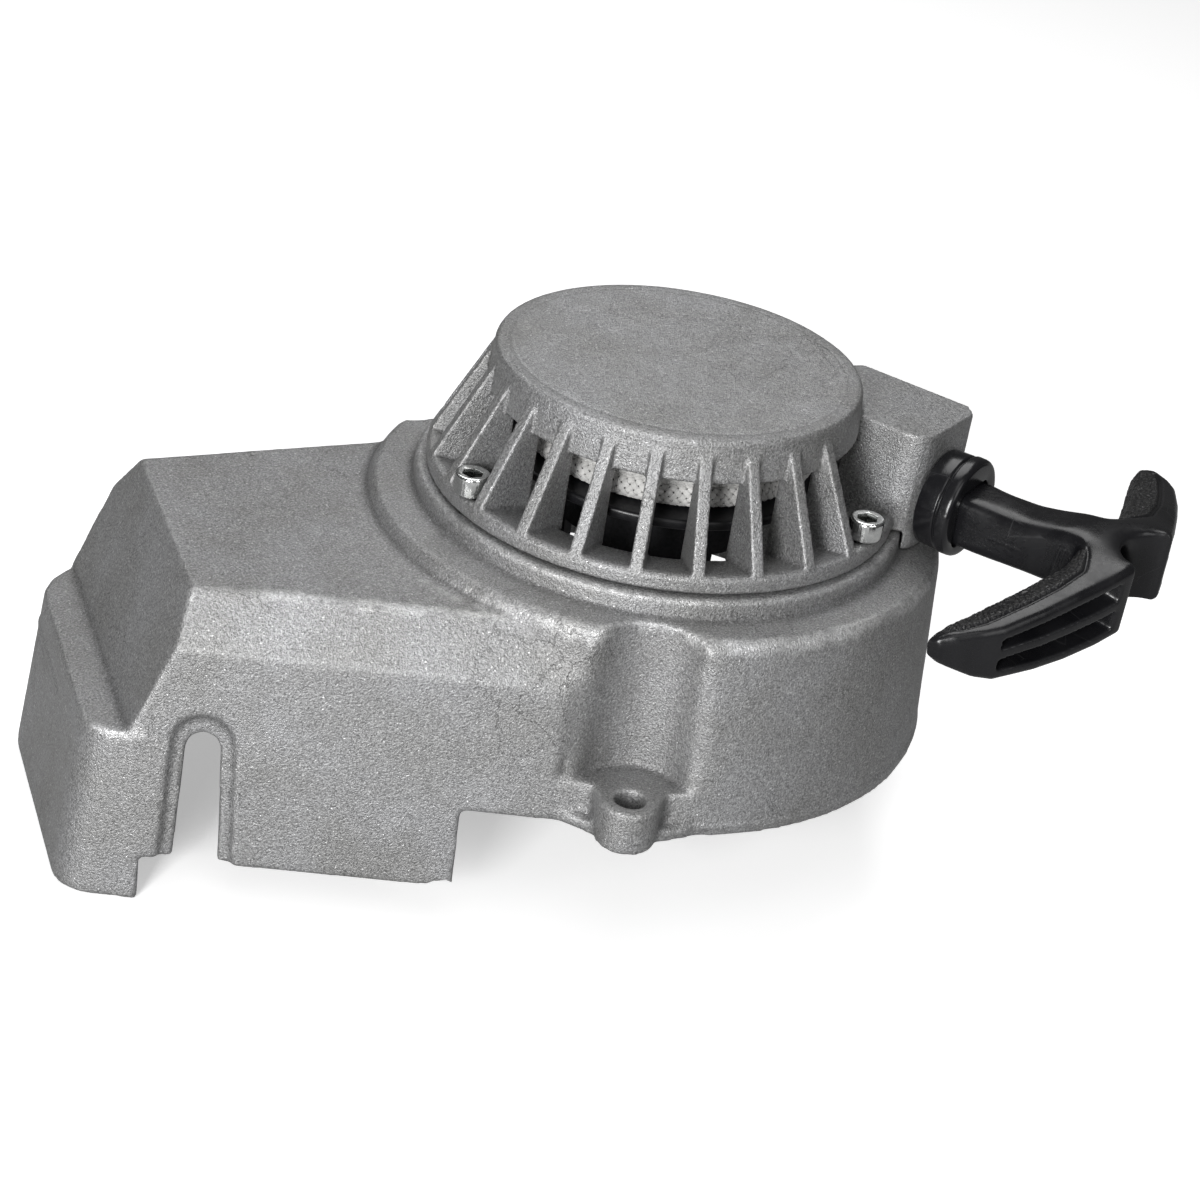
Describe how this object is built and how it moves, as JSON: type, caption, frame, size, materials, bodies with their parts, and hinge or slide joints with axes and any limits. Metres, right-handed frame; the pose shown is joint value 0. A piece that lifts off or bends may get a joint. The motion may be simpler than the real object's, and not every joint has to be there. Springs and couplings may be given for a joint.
{
  "type": "recoil starter",
  "caption": "Pull-rope recoil starter on a finned cast cap, with its drum-and-duct fan cover and a T-handle.",
  "frame": {"origin": "on the crank axis, in the plane of the fan cover drum rim that meets the crankcase", "axes": "+Z along the crank axis away from the engine, towards the cap; -X along the air duct; +Y completes a right-handed frame"},
  "size_m": [0.2242, 0.1338, 0.0978],
  "materials": {
    "cast_aluminium": "bead-blasted die casting, fine satin grain",
    "zinc": "bright zinc plate",
    "black_nylon": "moulded black nylon",
    "black_grip": "satin moulded black plastic with grained pads",
    "spring_steel": "blued strip",
    "pressed_steel": "black oxide",
    "rope": "braided white polyester",
    "bronze": "sintered bronze"
  },
  "bodies": {
    "root": {"fan_cover": "cast_aluminium", "starter_housing": "cast_aluminium", "housing_screw_1": "zinc", "housing_screw_2": "zinc", "housing_screw_3": "zinc", "recoil_spring": "spring_steel", "spring_cover": "zinc", "retaining_washer": "zinc", "centre_screw": "zinc", "rope_guide": "black_grip", "rope_run": "rope", "rope_lead": "rope"},
    "pulley": {"pulley": "black_nylon", "pulley_bush": "bronze", "rope_coil": "rope", "pulley_knot": "rope", "drive_cup": "pressed_steel", "cup_screw_1": "zinc", "cup_screw_2": "zinc", "cup_screw_3": "zinc"},
    "handle": {"handle_grip": "black_grip", "rope_stop_washer": "zinc", "handle_knot": "rope"}
  },
  "joints": [
    {"name": "handle_pull", "type": "slide", "parent": "root", "child": "handle", "axis": [0.5807, -0.8141, 0], "range_m": [0, 0.75], "stiffness_N_per_m": 15, "springref_m": -0.4},
    {"name": "pulley_spin", "type": "hinge", "parent": "root", "child": "pulley", "pos_m": [0, 0, 0.0519], "axis": [0, 0, 1], "range_deg": [-1600, 0]}
  ],
  "couplings": [
    {"joint": "pulley_spin", "follows": "handle_pull", "rad_per_m": -36.364}
  ]
}
